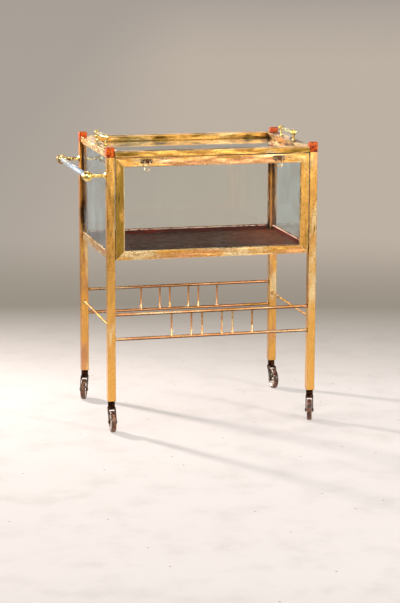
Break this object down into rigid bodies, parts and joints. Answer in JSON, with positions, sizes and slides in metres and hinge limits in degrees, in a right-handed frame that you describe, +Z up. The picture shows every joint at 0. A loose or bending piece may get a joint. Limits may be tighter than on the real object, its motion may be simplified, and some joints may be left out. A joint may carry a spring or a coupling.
{
  "type": "serving trolley",
  "caption": "Brass and glass serving trolley on casters: glazed cabinet with a drop-down front flap, lift-off glass tray with rod handles, low spindle rack and a push handle at one end.",
  "frame": {"origin": "on the floor, under the middle of the bounding box", "axes": "+Z up, +X to the right along the front as one faces the flap, +Y to the back; the push handle is at the -X end"},
  "size_m": [0.6738, 0.4632, 0.8195],
  "materials": {
    "brass": "satin, aged with warm patina spots",
    "pale_brass": "polished, paler",
    "amber": "glossy amber",
    "glass": "clear, slightly cool",
    "clear_rod": "clear, polished",
    "burgundy": "dark burgundy high-gloss lacquer",
    "bronze": "dark bronze",
    "tread": "brown hard rubber with bright metal discs"
  },
  "bodies": {
    "frame": {"post_front_left": "brass", "post_front_right": "brass", "post_back_left": "brass", "post_back_right": "brass", "post_cap_front_left": "amber", "post_cap_front_right": "amber", "post_cap_back_left": "amber", "post_cap_back_right": "amber", "cabinet_floor_panel": "burgundy", "floor_rail_front": "brass", "floor_rail_back": "brass", "floor_rail_left": "brass", "floor_rail_right": "brass", "top_rail_front": "brass", "top_rail_back": "brass", "top_rail_left": "brass", "top_rail_right": "brass", "pane_back": "glass", "pane_left": "glass", "pane_right": "glass", "push_handle_bracket_front": "brass", "push_handle_bracket_back": "brass", "push_handle_rod": "clear_rod", "rack_top_rail_front": "brass", "rack_top_rail_back": "brass", "rack_spindle_rail_front": "brass", "rack_spindle_rail_back": "brass", "rack_side_rod_left": "brass", "rack_side_rod_right": "brass"},
    "flap": {"flap_rail_bottom": "brass", "flap_rail_top": "brass", "flap_stile_left": "brass", "flap_stile_right": "brass", "flap_pane": "glass", "flap_pivot_pin_left": "brass", "flap_pivot_pin_right": "brass", "pull_plate_left": "brass", "pull_plate_right": "brass"},
    "left_pull": {"pull_ring_left": "pale_brass"},
    "right_pull": {"pull_ring_right": "pale_brass"},
    "tray": {"tray_frame": "brass", "tray_pane": "glass", "tray_handle_rod_left": "clear_rod", "tray_handle_rod_right": "clear_rod", "tray_handle_post_left_front": "pale_brass", "tray_handle_post_left_back": "pale_brass", "tray_handle_post_right_front": "pale_brass", "tray_handle_post_right_back": "pale_brass"},
    "fork_front_left": {"caster_fork_front_left": "bronze", "caster_axle_front_left": "bronze"},
    "fork_front_right": {"caster_fork_front_right": "bronze", "caster_axle_front_right": "bronze"},
    "fork_back_left": {"caster_fork_back_left": "bronze", "caster_axle_back_left": "bronze"},
    "fork_back_right": {"caster_fork_back_right": "bronze", "caster_axle_back_right": "bronze"},
    "wheel_front_left": {"caster_wheel_front_left": "tread"},
    "wheel_front_right": {"caster_wheel_front_right": "tread"},
    "wheel_back_left": {"caster_wheel_back_left": "tread"},
    "wheel_back_right": {"caster_wheel_back_right": "tread"}
  },
  "joints": [
    {"name": "flap_hinge", "type": "hinge", "parent": "frame", "child": "flap", "pos_m": [0.03163, -0.18542, 0.4883], "axis": [1, 0, 0], "range_deg": [0, 90]},
    {"name": "left_pull_swing", "type": "hinge", "parent": "flap", "child": "left_pull", "pos_m": [-0.15837, -0.19342, 0.7587], "axis": [-1, 0, 0], "range_deg": [0, 100]},
    {"name": "right_pull_swing", "type": "hinge", "parent": "flap", "child": "right_pull", "pos_m": [0.22163, -0.19342, 0.7587], "axis": [-1, 0, 0], "range_deg": [0, 100]},
    {"name": "tray_lift", "type": "slide", "parent": "frame", "child": "tray", "axis": [0, 0, 1], "range_m": [0, 0.05]},
    {"name": "front_left_swivel", "type": "hinge", "parent": "frame", "child": "fork_front_left", "pos_m": [-0.25937, -0.17942, 0.085], "axis": [0, 0, 1], "continuous": true},
    {"name": "front_right_swivel", "type": "hinge", "parent": "frame", "child": "fork_front_right", "pos_m": [0.32263, -0.17942, 0.085], "axis": [0, 0, 1], "continuous": true},
    {"name": "back_left_swivel", "type": "hinge", "parent": "frame", "child": "fork_back_left", "pos_m": [-0.25937, 0.21458, 0.085], "axis": [0, 0, 1], "continuous": true},
    {"name": "back_right_swivel", "type": "hinge", "parent": "frame", "child": "fork_back_right", "pos_m": [0.32263, 0.21458, 0.085], "axis": [0, 0, 1], "continuous": true},
    {"name": "front_left_roll", "type": "hinge", "parent": "fork_front_left", "child": "wheel_front_left", "pos_m": [-0.26052, -0.20139, 0.03], "axis": [0.9986, -0.0523, 0], "continuous": true},
    {"name": "front_right_roll", "type": "hinge", "parent": "fork_front_right", "child": "wheel_front_right", "pos_m": [0.3162, -0.20046, 0.03], "axis": [0.9563, -0.2924, 0], "continuous": true},
    {"name": "back_left_roll", "type": "hinge", "parent": "fork_back_left", "child": "wheel_back_left", "pos_m": [-0.26653, 0.19378, 0.03], "axis": [0.9455, -0.3256, 0], "continuous": true},
    {"name": "back_right_roll", "type": "hinge", "parent": "fork_back_right", "child": "wheel_back_right", "pos_m": [0.32378, 0.19261, 0.03], "axis": [0.9986, 0.0523, 0], "continuous": true}
  ]
}
